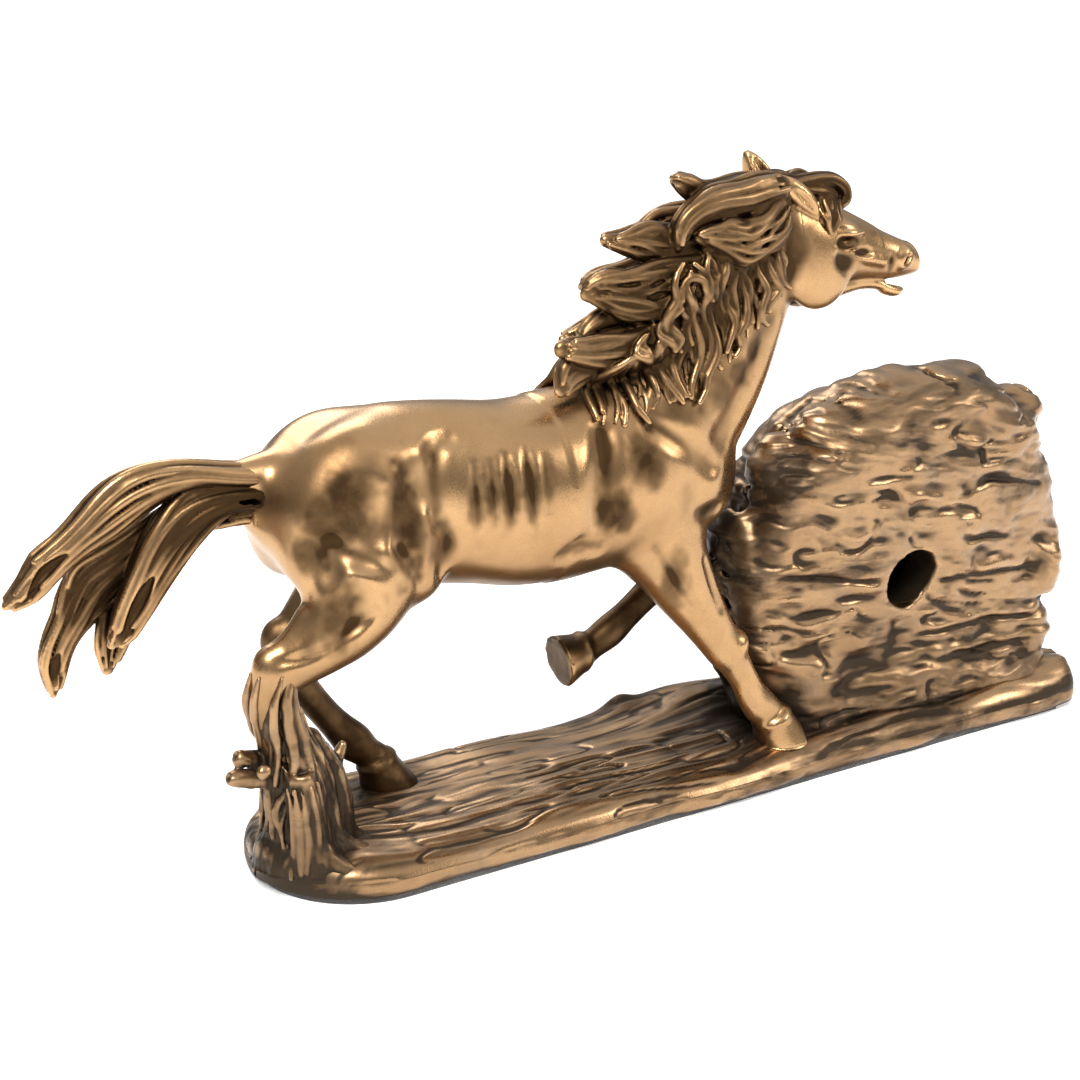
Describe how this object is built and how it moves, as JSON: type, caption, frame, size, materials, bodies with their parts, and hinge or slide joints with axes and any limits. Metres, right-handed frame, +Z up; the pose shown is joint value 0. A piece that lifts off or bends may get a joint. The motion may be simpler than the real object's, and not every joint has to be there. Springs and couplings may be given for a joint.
{
  "type": "horse figurine with mantel clock",
  "caption": "Bronze running-horse figurine on a ground slab beside a hollow log that holds a push-in quartz clock.",
  "frame": {"origin": "centre of the slab on the felt's resting face", "axes": "+X along the slab towards the horse's head, +Z up, +Y towards the clock's dial side; the back of the log with its finger hole faces -Y"},
  "size_m": [0.3106, 0.057, 0.1682],
  "materials": {
    "horse_bronze": "cold-cast bronze, burnished over a dark brown patina",
    "hair_bronze": "cold-cast bronze, highlights burnished, dark brown patina in the locks",
    "bark_bronze": "cold-cast bronze, rubbed ridges with grey-brown patina in the bark",
    "felt": "black felt",
    "pin_steel": "plain steel",
    "black_plastic": "moulded",
    "clear_rubber": "translucent silicone",
    "bezel_brass": "polished",
    "glass": "clear",
    "dial_card": "satin ivory",
    "spacer_white": "moulded",
    "black_print": "printed",
    "copper_wire": "enamelled copper wire",
    "circuit_green": "solder mask",
    "cell_steel": "nickel plated",
    "gear_plastic": "moulded acetal",
    "hand_black": "gloss black",
    "hand_brass": "polished",
    "knob_plastic": "moulded"
  },
  "bodies": {
    "castings": {"base": "bark_bronze", "felt_pad": "felt", "hoof_pins": "pin_steel", "log_housing": "bark_bronze", "tree_stump": "bark_bronze", "horse_body": "horse_bronze", "near_foreleg": "horse_bronze", "far_foreleg": "horse_bronze", "near_hindleg": "horse_bronze", "far_hindleg": "horse_bronze", "tail": "hair_bronze", "mane": "hair_bronze", "forelock": "hair_bronze"},
    "clock_insert": {"insert_can": "black_plastic", "gasket_band": "clear_rubber", "bezel": "bezel_brass", "lens": "glass", "dial": "dial_card", "spacer_ring": "spacer_white", "hour_markers": "black_print", "movement_case": "black_plastic", "movement_cover": "black_plastic", "drive_coil": "copper_wire", "circuit_board": "circuit_green", "battery": "cell_steel", "battery_contact": "cell_steel"},
    "minute_works": {"cannon_wheel": "gear_plastic", "minute_hand": "hand_black"},
    "hour_works": {"hour_wheel": "gear_plastic", "hour_hand": "hand_black"},
    "motion_works": {"motion_wheel": "gear_plastic"},
    "setting_knob": {"setting_knob": "knob_plastic"},
    "seconds_works": {"seconds_arbor": "gear_plastic", "second_hand": "hand_brass"},
    "battery_cover": {"battery_cover": "black_plastic"}
  },
  "joints": [
    {"name": "insert_slide", "type": "slide", "parent": "castings", "child": "clock_insert", "axis": [0, 0.9877, 0.1564], "range_m": [0, 0.03]},
    {"name": "minute_turn", "type": "hinge", "parent": "clock_insert", "child": "minute_works", "pos_m": [0.066, 0, 0.053], "axis": [0, 0.9877, 0.1564], "continuous": true},
    {"name": "hour_turn", "type": "hinge", "parent": "clock_insert", "child": "hour_works", "pos_m": [0.066, 0, 0.053], "axis": [0, 0.9877, 0.1564], "continuous": true},
    {"name": "motion_turn", "type": "hinge", "parent": "clock_insert", "child": "motion_works", "pos_m": [0.06, 0, 0.053], "axis": [0, 0.9877, 0.1564], "continuous": true},
    {"name": "knob_turn", "type": "hinge", "parent": "clock_insert", "child": "setting_knob", "pos_m": [0.06, 0.00094, 0.04707], "axis": [0, 0.9877, 0.1564], "continuous": true},
    {"name": "seconds_turn", "type": "hinge", "parent": "clock_insert", "child": "seconds_works", "pos_m": [0.066, 0, 0.053], "axis": [0, 0.9877, 0.1564], "continuous": true},
    {"name": "cover_turn", "type": "hinge", "parent": "clock_insert", "child": "battery_cover", "pos_m": [0.066, -0.00321, 0.07325], "axis": [0, 0.9877, 0.1564], "range_deg": [0, 60]}
  ],
  "couplings": [
    {"joint": "hour_turn", "follows": "minute_turn", "ratio": 0.083333},
    {"joint": "motion_turn", "follows": "minute_turn", "ratio": -0.33333},
    {"joint": "knob_turn", "follows": "minute_turn", "ratio": 1}
  ]
}
